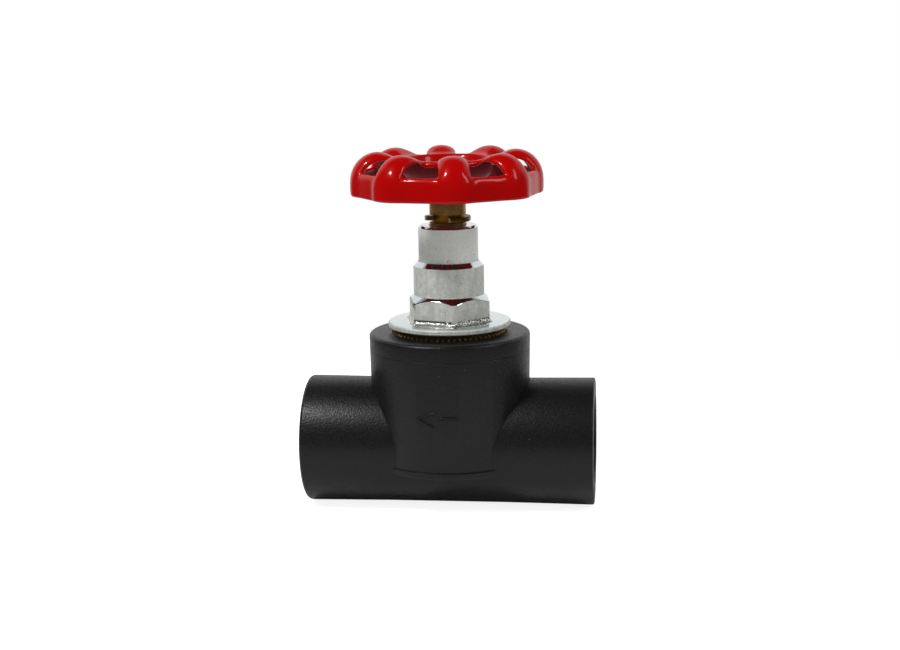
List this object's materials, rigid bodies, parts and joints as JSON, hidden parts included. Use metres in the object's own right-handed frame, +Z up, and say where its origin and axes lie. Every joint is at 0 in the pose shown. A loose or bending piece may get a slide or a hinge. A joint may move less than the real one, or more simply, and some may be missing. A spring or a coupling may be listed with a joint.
{
  "type": "stop valve",
  "caption": "Black plastic globe stop valve with welding sockets, a plated brass hexagon bonnet and a lobed red handwheel.",
  "frame": {"origin": "where the pipe axis meets the spindle axis, inside the body", "axes": "+X along the pipe towards the inlet socket, +Z up along the spindle towards the handwheel, -Y towards the side with the flow arrow"},
  "size_m": [0.106, 0.0688, 0.13],
  "materials": {
    "body_plastic": "moulded black polyethylene, semi-matt",
    "bare_brass": "machined brass, slightly dulled",
    "plated_brass": "plated over a forged brass surface, bright on turned edges",
    "red_enamel": "glossy baked red enamel",
    "seal_rubber": "black nitrile rubber",
    "slip_plastic": "white slip plastic",
    "fastener_steel": "bright steel"
  },
  "bodies": {
    "valve": {"valve_body": "body_plastic", "seat_ring": "bare_brass", "neck_insert": "bare_brass", "insert_seal_ring": "seal_rubber", "bonnet_oring": "seal_rubber", "bonnet": "plated_brass", "thrust_washer": "slip_plastic"},
    "wheel_group": {"spindle": "bare_brass", "spindle_oring_lower": "seal_rubber", "spindle_oring_upper": "seal_rubber", "spindle_clip": "bare_brass", "handwheel": "red_enamel", "wheel_washer": "fastener_steel", "wheel_screw": "fastener_steel"},
    "plunger_group": {"plunger": "bare_brass", "plunger_oring": "seal_rubber", "seat_washer": "seal_rubber", "washer_plate": "fastener_steel", "washer_screw": "fastener_steel"}
  },
  "joints": [
    {"name": "wheel_turn", "type": "hinge", "parent": "valve", "child": "wheel_group", "pos_m": [0, 0, 0.092], "axis": [0, 0, 1], "range_deg": [0, 1440]},
    {"name": "plunger_lift", "type": "slide", "parent": "valve", "child": "plunger_group", "axis": [0, 0, 1], "range_m": [0, 0.008]}
  ],
  "couplings": [
    {"joint": "plunger_lift", "follows": "wheel_turn", "m_per_rad": 0.00031831}
  ]
}
